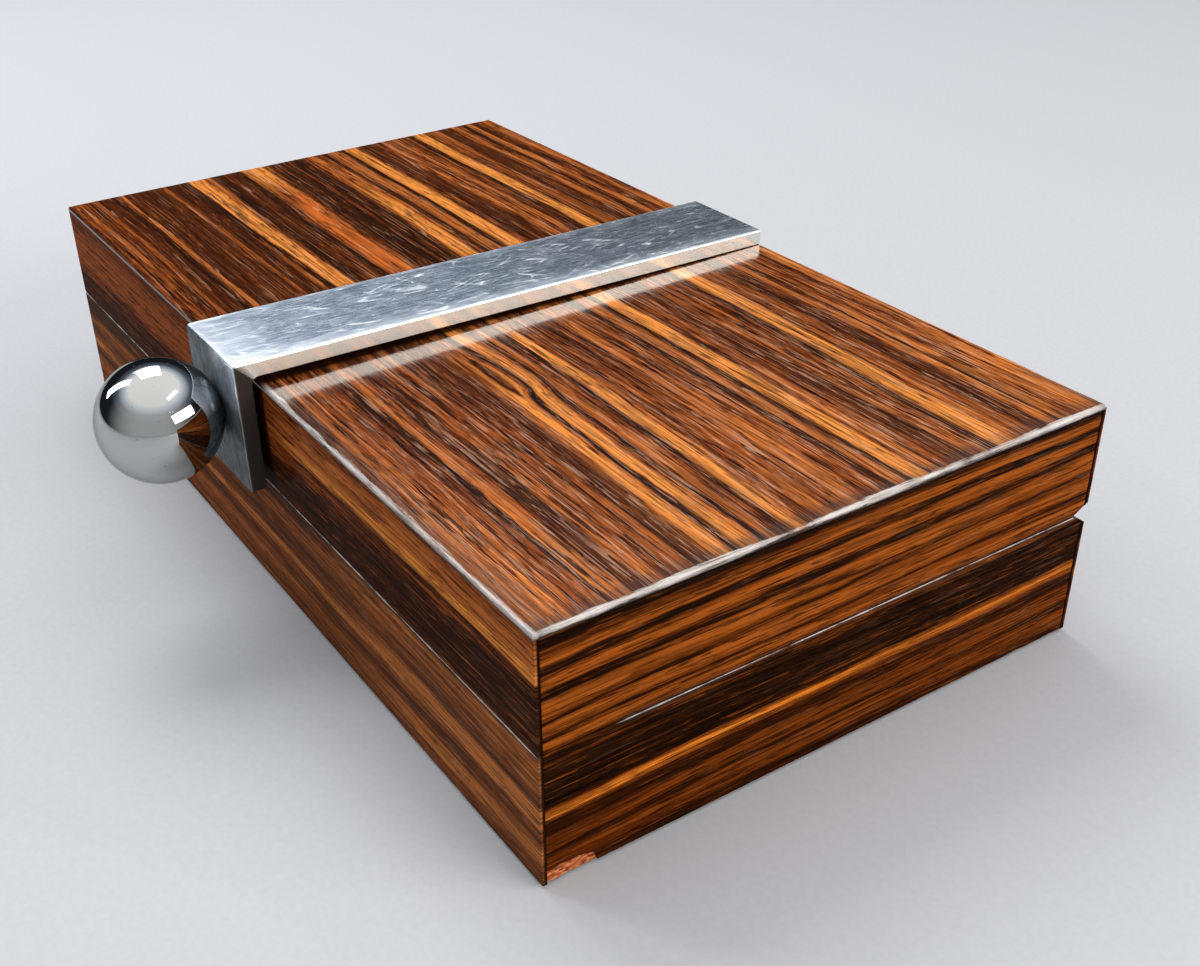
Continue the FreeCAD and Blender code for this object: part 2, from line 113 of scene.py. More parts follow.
camera_data = bpy.data.cameras.new("camera")
camera_data.sensor_width = 36.0
camera_data.lens = 43.38
camera_data.shift_x = 0.0333
camera_data.shift_y = 0.0225
camera_data.clip_start = 5 * mm
camera = bpy.data.objects.new("camera", camera_data)
bpy.context.collection.objects.link(camera)
turn = Matrix.Rotation(camera_turn, 4, "Z")
dip = Matrix.Rotation(math.pi / 2 - camera_dip, 4, "X")
roll = Matrix.Rotation(camera_roll, 4, "Z")
camera.matrix_world = Matrix.Translation(camera_place) @ turn @ dip @ roll
bpy.context.scene.camera = camera
print("camera at", [round(1000 * x) for x in camera_place], "mm")

# %% [markdown]
# # A helper for node materials
# A finish is a graph of nodes, and wiring it by hand takes many lines. Three small classes keep it short.
# `Graph` adds a node and links or sets its inputs in one call, and `Value` lets a number that changes over
# the surface be added and multiplied in plain arithmetic, each sign becoming one Math node. `Finish` is the
# graph of one material.


# %% Values
class Value:
    """A number, colour or vector that changes over the surface."""

    def __init__(self, graph, socket):
        self.graph = graph
        self.socket = socket

    def __add__(self, other):
        return self.graph.math("ADD", self, other)

    def __sub__(self, other):
        return self.graph.math("SUBTRACT", self, other)

    def __rsub__(self, other):
        return self.graph.math("SUBTRACT", other, self)

    def __mul__(self, other):
        return self.graph.math("MULTIPLY", self, other)

    def __abs__(self):
        return self.graph.math("ABSOLUTE", self)

    __radd__ = __add__


# %% Graphs
class Graph:
    """The nodes of a material or of the world, whose last shader is given by its name."""

    def __init__(self, owner, shader):
        owner.use_nodes = True
        self.tree = owner.node_tree
        self.shader = self.tree.nodes[shader]

    def set(self, settings):
        for socket, given in settings.items():
            self.feed(self.shader.inputs[socket], given)

    def feed(self, socket, given):
        if isinstance(given, Value):
            self.tree.links.new(given.socket, socket)
        elif socket.type == "RGBA" and len(given) == 3:
            socket.default_value = (*given, 1.0)
        else:
            socket.default_value = given

    def add(self, kind, inputs, output=0, **settings):
        node = self.tree.nodes.new("ShaderNode" + kind)
        for setting, given in settings.items():
            setattr(node, setting, given)
        for socket, given in inputs.items():
            self.feed(node.inputs[socket], given)
        return Value(self, node.outputs[output])

    def math(self, operation, first, second=0.0):
        return self.add("Math", {0: first, 1: second}, operation=operation)

    def span(self, given, start, end):
        """0 at start and 1 at end, going on past both."""
        return self.add("MapRange", {0: given, 1: start, 2: end}, clamp=False)

    def smooth(self, given, start, end):
        """0 at start and 1 at end, with an eased step between them."""
        return self.add("MapRange", {0: given, 1: start, 2: end}, interpolation_type="SMOOTHSTEP")

    def noise(self, first, second, third, detail=2.0, rough=0.5):
        point = self.add("CombineXYZ", {0: first, 1: second, 2: third})
        return self.add("TexNoise", {"Vector": point, "Scale": 1.0, "Detail": detail, "Roughness": rough})

    def mix(self, share, first, second):
        return self.add("Mix", {0: share, 6: first, 7: second}, 2, data_type="RGBA")

    def ramp(self, given, stops):
        """A colour that goes through the stops, each a share and a colour."""
        node = self.tree.nodes.new("ShaderNodeValToRGB")
        self.feed(node.inputs[0], given)
        elements = node.color_ramp.elements
        while len(elements) < len(stops):
            elements.new(0.5)
        for element, (share, colour) in zip(elements, stops):
            element.position = share
            element.color = (*colour, 1.0)
        return Value(self, node.outputs[0])

    def bump(self, height, depth):
        return self.add("Bump", {"Height": height, "Distance": depth})


# %% Finishes
class Finish(Graph):
    """A material being made, with the Object coordinates at hand by their axis in `place`."""

    def __init__(self, name, settings):
        self.material = bpy.data.materials.new(name)
        super().__init__(self.material, "Principled BSDF")
        self.set(settings)
        point = self.add("TexCoord", {}, "Object")
        self.place = {axis: self.add("SeparateXYZ", {0: point}, axis) for axis in "XYZ"}


# %% [markdown]
# # Striped ebony veneer
# Each face is one knife-cut sheet: brown wood with near-black and orange stripes that run the length of the
# face, wavy but never crossing. A picture could be projected on it, but a drawn figure stays sharp at any
# distance. So the stripes are a list for each face: where a stripe lies at the two ends of the face as a
# share of its height, how wide it is and its tone. Stretched noise adds what no list can hold: the sway of
# the grain, the finer lines between the stripes, and the open pores.

# %% Tones of the veneer
tones = {
    "black": (0.016, 0.004, 0.001),
    "ebony": (0.065, 0.013, 0.002),
    "brown": (0.165, 0.034, 0.006),
    "chestnut": (0.280, 0.068, 0.012),
    "amber": (0.460, 0.130, 0.026),
    "orange": (0.820, 0.280, 0.052),
    "red": (0.550, 0.125, 0.020),
}
Stripe = namedtuple("Stripe", "start end width tone reach", defaults=[(0.0, 1.0)])
left_part, right_part = (0.0, 0.45), (0.45, 1.0)
print(len(tones), "tones of wood")

# %% Figure of the lid's top, from the back to the front
top_stripes = [
    Stripe(0.860, 0.860, 0.240, "ebony", left_part),
    Stripe(0.660, 0.650, 0.070, "ebony", left_part),
    Stripe(0.020, 0.014, 0.012, "amber"),
    Stripe(0.056, 0.060, 0.014, "amber", left_part),
    Stripe(0.075, 0.083, 0.010, "amber", right_part),
    Stripe(0.070, 0.092, 0.010, "black"),
    Stripe(0.092, 0.104, 0.012, "amber"),
    Stripe(0.118, 0.130, 0.034, "ebony"),
    Stripe(0.150, 0.160, 0.024, "chestnut"),
    Stripe(0.191, 0.204, 0.034, "orange"),
    Stripe(0.213, 0.228, 0.016, "black"),
    Stripe(0.252, 0.248, 0.014, "amber", left_part),
    Stripe(0.280, 0.300, 0.012, "amber", left_part),
    Stripe(0.325, 0.285, 0.046, "ebony"),
    Stripe(0.364, 0.369, 0.032, "orange"),
    Stripe(0.386, 0.391, 0.013, "black"),
    Stripe(0.403, 0.407, 0.024, "amber"),
    Stripe(0.428, 0.424, 0.014, "black"),
    Stripe(0.466, 0.454, 0.036, "orange", (0.18, 0.45)),
    Stripe(0.528, 0.522, 0.100, "black", left_part),
    Stripe(0.522, 0.520, 0.008, "brown", left_part),
    Stripe(0.480, 0.492, 0.012, "amber", right_part),
    Stripe(0.600, 0.590, 0.056, "orange", (0.0, 0.08)),
    Stripe(0.598, 0.612, 0.044, "red", (0.12, 0.45)),
    Stripe(0.636, 0.634, 0.018, "black", left_part),
    Stripe(0.690, 0.684, 0.022, "black", left_part),
    Stripe(0.735, 0.688, 0.036, "orange", left_part),
    Stripe(0.758, 0.714, 0.016, "black", left_part),
    Stripe(0.578, 0.590, 0.022, "orange", right_part),
    Stripe(0.594, 0.606, 0.010, "black", right_part),
    Stripe(0.622, 0.630, 0.012, "amber", right_part),
    Stripe(0.640, 0.646, 0.010, "black", right_part),
    Stripe(0.660, 0.672, 0.022, "orange", right_part),
    Stripe(0.680, 0.688, 0.010, "black", right_part),
    Stripe(0.700, 0.708, 0.018, "orange", (0.66, 1.0)),
    Stripe(0.745, 0.740, 0.040, "ebony", right_part),
    Stripe(0.800, 0.782, 0.010, "chestnut"),
    Stripe(0.833, 0.840, 0.030, "ebony"),
    Stripe(0.892, 0.866, 0.014, "amber"),
    Stripe(0.906, 0.884, 0.012, "black"),
    Stripe(0.948, 0.935, 0.010, "chestnut"),
    Stripe(0.972, 0.966, 0.012, "amber", right_part),
]

# %% Figure of the front, from the lid's top down to the underside
front_stripes = [
    Stripe(0.780, 0.780, 0.460, "brown"),
    Stripe(0.060, 0.020, 0.110, "brown", left_part),
    Stripe(0.150, 0.100, 0.170, "chestnut"),
    Stripe(0.130, 0.115, 0.140, "amber", (0.62, 1.0)),
    Stripe(0.175, 0.165, 0.050, "orange", (0.60, 1.0)),
    Stripe(0.240, 0.215, 0.050, "chestnut", left_part),
    Stripe(0.330, 0.250, 0.024, "black", left_part),
    Stripe(0.470, 0.340, 0.240, "black"),
    Stripe(0.440, 0.410, 0.010, "ebony"),
    Stripe(0.600, 0.530, 0.050, "chestnut"),
    Stripe(0.660, 0.640, 0.030, "ebony"),
    Stripe(0.730, 0.720, 0.040, "amber"),
    Stripe(0.700, 0.700, 0.100, "amber", (0.76, 1.0)),
    Stripe(0.790, 0.790, 0.040, "ebony"),
    Stripe(0.860, 0.870, 0.060, "chestnut"),
    Stripe(0.870, 0.875, 0.090, "amber", (0.76, 1.0)),
    Stripe(0.920, 0.920, 0.030, "brown"),
    Stripe(0.985, 0.980, 0.030, "ebony"),
]

# %% Figure of the right side, from the lid's top down to the underside
side_stripes = [
    Stripe(0.250, 0.210, 0.440, "chestnut"),
    Stripe(0.030, -0.010, 0.080, "black"),
    Stripe(0.110, 0.050, 0.036, "amber"),
    Stripe(0.150, 0.075, 0.034, "black"),
    Stripe(0.200, 0.110, 0.044, "amber"),
    Stripe(0.245, 0.150, 0.036, "black"),
    Stripe(0.295, 0.205, 0.060, "amber"),
    Stripe(0.345, 0.250, 0.014, "ebony"),
    Stripe(0.380, 0.300, 0.048, "amber"),
    Stripe(0.415, 0.340, 0.014, "ebony"),
    Stripe(0.440, 0.390, 0.040, "amber"),
    Stripe(0.840, 0.840, 0.300, "brown"),
    Stripe(0.870, 0.850, 0.200, "chestnut", (0.26, 1.0)),
    Stripe(0.570, 0.550, 0.240, "black"),
    Stripe(0.520, 0.500, 0.010, "ebony"),
    Stripe(0.600, 0.580, 0.010, "ebony"),
    Stripe(0.708, 0.668, 0.050, "amber"),
    Stripe(0.706, 0.668, 0.020, "orange"),
    Stripe(0.765, 0.735, 0.060, "ebony"),
    Stripe(0.835, 0.790, 0.018, "chestnut"),
    Stripe(0.870, 0.850, 0.024, "ebony"),
    Stripe(0.905, 0.890, 0.016, "chestnut"),
    Stripe(0.975, 0.975, 0.050, "ebony"),
]
print(len(top_stripes), len(front_stripes), len(side_stripes), "stripes on the top, front and side")


# %% [markdown]
# # From a list of stripes to a polished surface
# Each stripe is a soft mask mixed over the ones before it, and the fine lines of the grain run through all
# of them. A growth ring darkens slowly and then ends at once, which is what the fraction of a rising number
# does, so it draws the rings. Just past a ring's end, and on single fibres, a thin pale line is painted as
# the highlight where the polish catches the light. The pores stay open as short grooves, so a bump follows
# them. Where an edge has lost its polish, the fibres are dry and pale and the wood beside them is dull: two
# masks, ragged at their border, mix those tones in, and the pale one is partly a painted highlight. A face
# that is seldom wiped also has a thin pale film over all its tones, partly dust and partly painted sheen.

# %% Worn edges of the veneer, pale partly as painted highlight
WornAndHighlit = namedtuple("WornAndHighlit", "first second along width start end strength", defaults=[0.9])
pale_fibre_and_highlight = [(0.30, (0.12, 0.095, 0.085)), (0.44, (0.43, 0.38, 0.35)), (0.60, (0.68, 0.64, 0.61))]


def stripe_mask(finish, run, lie, stripe):
    centre = run * (stripe.end - stripe.start) + stripe.start
    mask = finish.smooth(abs(lie - centre), 0.58 * stripe.width, 0.30 * stripe.width)
    first, last = stripe.reach
    fade = 0.08
    if first > 0:
        mask = mask * finish.smooth(run, first - fade, first + fade)
    if last < 1:
        mask = mask * finish.smooth(run, last + fade, last - fade)
    return mask


def wear_and_highlight_masks(finish, worn_and_highlit, seed):
    """Masks of the bare arris (wear and painted highlight) and of the dull wood beside it, and the fibres'
    tone.
    """
    (first_axis, first_place), (second_axis, second_place) = worn_and_highlit.first, worn_and_highlit.second
    inward = finish.math("MAXIMUM", abs(finish.place[first_axis] - first_place),
                         abs(finish.place[second_axis] - second_place))
    run = finish.place[worn_and_highlit.along]
    fade = 4 * mm
    ends = finish.smooth(run, worn_and_highlit.start - fade, worn_and_highlit.start) * finish.smooth(run, worn_and_highlit.end + fade, worn_and_highlit.end)
    ragged = finish.noise(run * 70.0, inward * 500.0, seed, detail=5.0, rough=0.75)
    bare_and_highlight = finish.smooth((ragged * 2.2 - 0.45) * worn_and_highlit.width - inward, 0.0, 0.3 * worn_and_highlit.width)
    dull = finish.smooth(inward * 0.3 - (ragged - 0.5) * worn_and_highlit.width, worn_and_highlit.width, 0.2 * worn_and_highlit.width)
    splinter = finish.noise(run * 170.0, inward * 2400.0, seed + 10.0, detail=3.0, rough=0.7)
    return bare_and_highlight * ends * worn_and_highlit.strength, dull * ends, finish.ramp(splinter, pale_fibre_and_highlight)


# %% Fine lines of the grain
Lines = namedtuple("Lines", "dark pale late catch pore hair")


def fine_lines(finish, run, run_m, lie_m, calm_m, moved_m, fine, seed):
    """Masks of the dark and pale lines, late wood, pores, and painted highlights past rings' ends and on
    fibres.
    """
    warp = finish.noise(run_m * 9.0, lie_m * 330.0, seed + 19.0, detail=2.0)
    ring = finish.math("FRACT", calm_m * 700.0 + warp * 7.0)
    patchy = finish.noise(run_m * 90.0, lie_m * 700.0, seed + 23.0, detail=2.0)
    pore = finish.noise(run_m * 190.0, lie_m * 3800.0, seed + 17.0, detail=1.0)
    hair = finish.noise(run_m * 110.0, moved_m * 5400.0, seed + 29.0, detail=2.0)
    more_to_the_end = finish.smooth(run, 0.20, 0.95) * 0.88 + 0.12
    return Lines(dark=finish.smooth(fine, 0.49, 0.41), pale=finish.smooth(fine, 0.54, 0.64),
                 late=finish.smooth(ring, 0.35, 0.96),
                 catch=finish.smooth(ring, 0.20, 0.04) * finish.smooth(patchy, 0.48, 0.62),
                 pore=finish.smooth(pore, 0.58, 0.68),
                 hair=finish.smooth(hair, 0.56, 0.68) * more_to_the_end)


# %% Veneer finish
dull_wood = (0.050, 0.036, 0.032)
# glint is the tone of painted highlights on the grain.
glint = (0.62, 0.34, 0.21)
# The film's tone is partly dust and partly painted sheen.
dust_and_sheen_film = (0.150, 0.085, 0.052)


def veneer(name, along, across, face, stripes, seed, depth=1.2, ochre=1.0, gloss=0.05, hair_glints=0.08, dust_and_sheen=0.0,
           worn_and_highlit=(), knot=None, painted_strap_shade=None, paler_end=0.0):
    """The grain runs along one axis from its first place to its second, and the stripes follow across.
    A depth above one makes every tone darker and redder, and an ochre below one makes it yellower again.
    Gloss, hair and dust shares: polish, painted highlights on fibres, and a film of dust and painted sheen."""
    finish = Finish(name, {"Coat Weight": gloss, "Coat Roughness": 0.06, "Coat IOR": 1.5,
                           "Specular IOR Level": 0.0})
    (run_axis, run_start, run_end), (lie_axis, lie_start, lie_end) = along, across
    run = finish.span(finish.place[run_axis], run_start, run_end)
    run_m = run * abs(run_end - run_start)
    height = abs(lie_end - lie_start)
    lie_m = finish.span(finish.place[lie_axis], lie_start, lie_end) * height

    sway = finish.noise(run_m * 14.0, lie_m * 45.0, seed, detail=1.0)
    feather = finish.noise(run_m * 60.0, lie_m * 1500.0, seed + 3.0, detail=3.0, rough=0.65)
    calm_m = lie_m + (sway - 0.5) * (3.4 * mm)
    if knot:
        lift, heart = knot(finish)
        calm_m = calm_m + lift
    moved_m = calm_m + (feather - 0.5) * (1.6 * mm)
    moved = moved_m * (1.0 / height)

    broad = finish.noise(run_m * 4.0, moved_m * 360.0, seed + 7.0, detail=2.0)
    line = finish.noise(run_m * 24.0, moved_m * 1900.0, seed + 11.0, detail=3.0, rough=0.65)
    fibre = finish.noise(run_m * 150.0, moved_m * 4600.0, seed + 13.0, detail=2.0, rough=0.6)
    fine = line * 0.5 + fibre * 0.5
    grain = broad * 0.35 + fine * 0.65
    if paler_end:
        grain = grain + finish.smooth(run, 0.68, 0.92) * paler_end
    toned = {tone: (red ** depth, green ** (depth * ochre), blue ** depth)
             for tone, (red, green, blue) in tones.items()}
    stops = [(0.41, "black"), (0.455, "ebony"), (0.50, "brown"), (0.545, "chestnut"), (0.60, "amber"),
             (0.68, "orange")]
    colour = finish.ramp(grain, [(share, toned[tone]) for share, tone in stops])
    for stripe in stripes:
        mask = stripe_mask(finish, run, moved, stripe)
        colour = finish.mix(mask * 0.92, colour, toned[stripe.tone])
    if knot:
        colour = finish.mix(heart, colour, toned["ebony"])

    lines = fine_lines(finish, run, run_m, lie_m, calm_m, moved_m, fine, seed)
    # The catch and hair masks, mixed in the glint tone, are painted highlights of the polish on the grain.
    for mask, tone in ((lines.dark * 0.76, toned["black"]), (lines.late * 0.50, toned["black"]),
                       (lines.pale * 0.35, toned["amber"]), (lines.pore * 0.50, toned["black"]),
                       (lines.catch * (0.5 * gloss), glint), (lines.hair * hair_glints, glint)):
        colour = finish.mix(mask, colour, tone)
    # A pale film over all tones, partly dust and partly a painted sheen.
    if dust_and_sheen:
        colour = finish.mix(dust_and_sheen, colour, dust_and_sheen_film)

    face_axis, face_place = face
    behind = abs(finish.place[face_axis] - face_place)
    colour = finish.mix(finish.smooth(behind, 0.20 * mm, 0.55 * mm), colour, toned["black"])
    if painted_strap_shade:
        # Painted shade: the wood under the strap, just past its sides and behind its drop is darkened.
        colour = finish.mix(painted_strap_shade(finish) * 0.9, colour, toned["black"])
    roughness = 0.42 + lines.dark * 0.12
    for number, edge in enumerate(worn_and_highlit):
        bare_and_highlight, dull, fibre_and_highlight_tone = wear_and_highlight_masks(finish, edge, seed + 31.0 + number)
        colour = finish.mix(dull * 0.5, colour, dull_wood)
        # The bare arris is pale from wear and partly as a painted highlight.
        colour = finish.mix(bare_and_highlight, colour, fibre_and_highlight_tone)
        roughness = roughness + bare_and_highlight * 0.25

    relief = lines.pale * 0.4 + lines.hair * 0.5 - lines.dark * 0.3 - lines.late * 0.2 - lines.pore * 0.8
    finish.set({"Base Color": colour, "Roughness": roughness, "Normal": finish.bump(relief, 0.03 * mm),
                "Coat Normal": finish.bump(relief, 0.007 * mm)})
    return finish.material


# %% [markdown]
# # Five faces
# The grain runs from left to right on the top, front and back, and from front to back on the sides. The lid's
# top is polished. The base's front is paler than the lid's, with more of a film that is partly dust and
# partly painted sheen, so the front has two finishes with one figure. The sides are deeper in tone than the
# top, and that difference is painted shade. On the right half of the top there is a small knot: the lines
# behind it climb over its dark heart and drop past its blunt end, so their places are lifted there. Under the
# strap and just past its sides, and behind its drop on the lid's front, the wood is painted dark as shade.
# The lid's right and front edges are the most worn, and the base has thin pale lines along its rim; these
# pale edge lines are partly painted highlight.

# %% Knot and the painted shade round the strap
half_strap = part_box("strap")[1].x


def knot(finish):
    """How far the lines are lifted, and a mask for the dark heart."""
    heart_y, rise, half_heart = -19.3 * mm, 1.8 * mm, 1.0 * mm
    x = finish.place["X"]
    along = finish.smooth(x, 12 * mm, 30 * mm) * finish.smooth(x, 42 * mm, 32 * mm)
    above = finish.place["Y"] - heart_y
    lift = along * rise * finish.smooth(above, 10 * mm, 1 * mm) * finish.smooth(above, -0.6 * mm, 0.6 * mm)
    heart = finish.smooth(abs(above) - along * half_heart, 0.1 * mm, -0.5 * mm)
    return lift, heart


def painted_strap_shade(finish):
    """A mask for the painted shade under the strap and just past its sides."""
    return finish.smooth(abs(finish.place["X"]), half_strap + 0.9 * mm, half_strap - 0.4 * mm)


# %% Finishes of the sheets
wide_run, deep_run = ("X", -half_width, half_width), ("Y", -half_depth, half_depth)
down = ("Z", lid_top, 0.0)
rim_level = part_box("base_right_veneer")[1].z
lid_right_edge = WornAndHighlit(("X", half_width), ("Z", lid_top), "Y", 1.2 * mm, -half_depth, half_depth)
lid_front_edge = WornAndHighlit(("Y", -half_depth), ("Z", lid_top), "X", 1.2 * mm, 13 * mm, half_width, 0.65)
lid_back_corner = WornAndHighlit(("Y", half_depth), ("Z", lid_top), "X", 0.7 * mm, 78 * mm, half_width)
rim_right_edge = WornAndHighlit(("X", half_width), ("Z", rim_level), "Y", 0.24 * mm, -35 * mm, half_depth)
rim_front_edge = WornAndHighlit(("Y", -half_depth), ("Z", rim_level), "X", 0.22 * mm, -half_width, half_width)

top_veneer = veneer("veneer_top", wide_run, ("Y", half_depth, -half_depth), ("Z", lid_top), top_stripes, 1.7,
                    depth=1.0, gloss=0.7, hair_glints=0.5, worn_and_highlit=[lid_right_edge, lid_front_edge, lid_back_corner],
                    knot=knot, painted_strap_shade=painted_strap_shade, paler_end=0.055)
lid_front = veneer("veneer_lid_front", wide_run, down, ("Y", -half_depth), front_stripes, 5.1, depth=1.04,
                   dust_and_sheen=0.04, painted_strap_shade=painted_strap_shade)
base_front = veneer("veneer_base_front", wide_run, down, ("Y", -half_depth), front_stripes, 5.1, depth=0.92,
                    hair_glints=0.2, dust_and_sheen=0.16, worn_and_highlit=[rim_front_edge])
# Painted shade: the right side's deeper, redder tone stands for the lesser light on a side of the same wood.
right_veneer = veneer("veneer_right", deep_run, down, ("X", half_width), side_stripes, 9.4, depth=1.30,
                      ochre=0.92, worn_and_highlit=[rim_right_edge])
# Painted shade: the left side and the back keep the default depth, deeper than the top's.
left_veneer = veneer("veneer_left", ("Y", half_depth, -half_depth), down, ("X", -half_width),
                     side_stripes, 12.9)
back_veneer = veneer("veneer_back", ("X", half_width, -half_width), down, ("Y", half_depth),
                     front_stripes, 15.2)
print("six veneer finishes")


# %% [markdown]
# # Worn sheets
# The edges of old veneer are never sharp: polish and hands have eased them and small nicks have broken
# them. A Bevel modifier would ease them evenly. Here each sheet is drawn again as an outline, cut into short
# steps along its rim, pushed out to its thickness and bevelled, and then the bevel's points are
# pressed in by noise, so that the arris wanders and is nicked as on the real box.


# %% Linking and bevelling
def link_piece(shape, name, body, material, stands_for=None):
    bmesh.ops.recalc_face_normals(shape, faces=shape.faces[:])
    for face in shape.faces:
        face.smooth = True
    mesh = bpy.data.meshes.new(name)
    shape.to_mesh(mesh)
    shape.free()
    mesh.materials.append(material)
    piece = bpy.data.objects.new(name, mesh)
    bpy.context.collection.objects.link(piece)
    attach(piece, body)
    if stands_for:
        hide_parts(stands_for)
    weighted = piece.modifiers.new("even shading", "WEIGHTED_NORMAL")
    weighted.keep_sharp = True
    print(f"{name}: {len(mesh.polygons)} faces")
    return piece


def bevel_edges(shape, edges, width, segments=3):
    bmesh.ops.bevel(shape, geom=edges, offset=width, offset_type="OFFSET", segments=segments, profile=0.5,
                    affect="EDGES", clamp_overlap=True, material=-1)


# %% Sheets with eased and nicked edges
def worn_sheet(node, material, outline=None, arris=0.18 * mm, nick=0.10 * mm, wear=None):
    low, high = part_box(node)
    thin = min(range(3), key=lambda axis: high[axis] - low[axis])
    first, second = [axis for axis in range(3) if axis != thin]
    outer = max(low[thin], high[thin], key=abs)
    inner = min(low[thin], high[thin], key=abs)
    corners = outline or [(low[first], low[second]), (high[first], low[second]),
                          (high[first], high[second]), (low[first], high[second])]
    shape = bmesh.new()
    rim = []
    for a, b in corners:
        point = Vector((0.0, 0.0, 0.0))
        point[first], point[second], point[thin] = a, b, inner
        rim.append(shape.verts.new(point))
    shape.faces.new(rim)
    step = 0.7 * mm
    for edge in shape.edges[:]:
        bmesh.ops.subdivide_edges(shape, edges=[edge], cuts=int(edge.calc_length() / step))
    pushed = bmesh.ops.extrude_face_region(shape, geom=shape.faces[:])
    for part in pushed["geom"]:
        if isinstance(part, bmesh.types.BMVert):
            part.co[thin] = outer
    bmesh.ops.recalc_face_normals(shape, faces=shape.faces[:])
    bevel_edges(shape, [edge for edge in shape.edges
                        if all(abs(vert.co[thin] - outer) < tiny for vert in edge.verts)], arris)
    shape.normal_update()
    rate, finer, unharmed = 420.0, 2.7, 0.25
    for vert in shape.verts:
        if abs(vert.co[thin] - inner) < tiny:
            continue
        rough = noise.noise(vert.co * rate) + 0.5 * noise.noise(vert.co * rate * finer)
        amount = max(0.0, rough - unharmed) * (wear(vert.co) if wear else 1.0)
        vert.co -= vert.normal * nick * amount
    link_piece(shape, node + "_worn", nodes[node]["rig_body"], material, node)


def top_wear(place):
    """Most on the lid's right edge, less on its front edge and little elsewhere."""
    near = 1.0 * mm
    if place.x > half_width - near:
        return 2.0
    return 1.4 if place.y < near - half_depth else 0.8


worn_sheet("lid_top_veneer", top_veneer, arris=0.42 * mm, wear=top_wear)
worn_sheet("lid_front_veneer", lid_front)
worn_sheet("base_front_veneer", base_front)

# %% [markdown]
# # Side sheets and the groove at the back
# At the back a V groove runs between lid and base, so that the lid can swing over. It cuts one corner off
# each side sheet. The cut could be made with a Boolean, but it is one straight line, so the outline
# simply has one more corner. The base's right sheet also has lost a splinter at its front lower corner.

# %% Side sheets
groove_depth, groove_rise = 3.1 * mm, 1.8 * mm
lid_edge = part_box("lid_right_veneer")[0].z
parting = (rim_level + lid_edge) / 2
groove_root = half_depth - groove_depth


def side_outline(node, half, chip=()):
    """The corners of a side sheet, as places along Y and Z, with the groove's cut and any chip."""
    low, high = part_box(node)
    back_rise = groove_rise * (high.y - groove_root) / groove_depth
    joint_gap = abs((low.z if half == "lid" else high.z) - parting)
    start_y = groove_root + groove_depth * joint_gap / groove_rise
    if half == "lid":
        lower = [(low.y, low.z), (start_y, low.z)]
        return lower + [(high.y, parting + back_rise), (high.y, high.z), (low.y, high.z)]
    lower = list(chip) or [(low.y, low.z)]
    return lower + [(high.y, low.z), (high.y, parting - back_rise), (start_y, high.z), (low.y, high.z)]


base_side_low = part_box("base_right_veneer")[0]
chip_edge = [(0.0, 2.3), (0.9, 2.05), (2.2, 2.45), (3.6, 2.2), (5.0, 2.35), (6.4, 1.9), (7.4, 1.75),
             (7.9, 0.9), (8.1, 0.0)]
chip_line = [(base_side_low.y + a * mm, base_side_low.z + b * mm) for a, b in chip_edge]
for half, side, material in (("lid", "left", left_veneer), ("lid", "right", right_veneer),
                             ("base", "left", left_veneer), ("base", "right", right_veneer)):
    name = f"{half}_{side}_veneer"
    chip = chip_line if (half, side) == ("base", "right") else ()
    worn_sheet(name, material, side_outline(name, half, chip))

# %% [markdown]
# # Torn wood in the chip
# Where the splinter came off, part of the sheet's thickness is still there as raw orange fibres. A bump on
# a flat patch would have a smooth outline against the light, so the patch is a fine grid whose points are
# moved by noise that is stretched along the grain. It ends inside the sheet, so no gap can show.

# %% Chip
torn = Finish("torn_wood", {"Roughness": 0.75, "Specular IOR Level": 0.2})
strand = torn.noise(torn.place["Y"] * 900.0, torn.place["Z"] * 2600.0, 0.0, detail=3.0)
torn.set({"Base Color": torn.ramp(strand, [(0.30, (0.10, 0.022, 0.006)), (0.50, (0.42, 0.10, 0.025)),
                                           (0.68, (0.75, 0.28, 0.12))])})
chip_length, chip_height, chip_level, chip_rough = 8.6 * mm, 2.8 * mm, 0.40 * mm, 0.22 * mm
shape = bmesh.new()
bmesh.ops.create_grid(shape, x_segments=60, y_segments=22, size=0.5)
for vert in shape.verts:
    a, b = vert.co.x + 0.5, vert.co.y + 0.5
    y = base_side_low.y + a * chip_length
    z = base_side_low.z + b * chip_height
    rise = noise.noise((y * 700.0, z * 2200.0, 4.0))
    vert.co = (base_side_low.x + chip_level + chip_rough * rise, y, z)
link_piece(shape, "chip_torn_wood", "base", torn.material)

# %% [markdown]
# # Nickel strap
# The strap is flat nickel-plated bar, brushed along its length and scuffed by years of handling, most of all
# along its edges and just behind the bend. A scuff is rougher than the metal round it, so it gathers the
# light overhead where clean metal mirrors the dim wall: more roughness and a paler tone draw it. Stretched
# noise gives the long streaks of the brush and some short dashes. A fine scratch is a thin slanted line, and
# so is a contour of a stretched noise, where it passes one half. Below the bend the plate is painted dark,
# its side nearly black, and partly no longer metallic, as a painted reflection of dark surroundings; its
# right top corner is left paler. The brush lines turn down with the bend, because their run is counted along
# the sum of two axes.

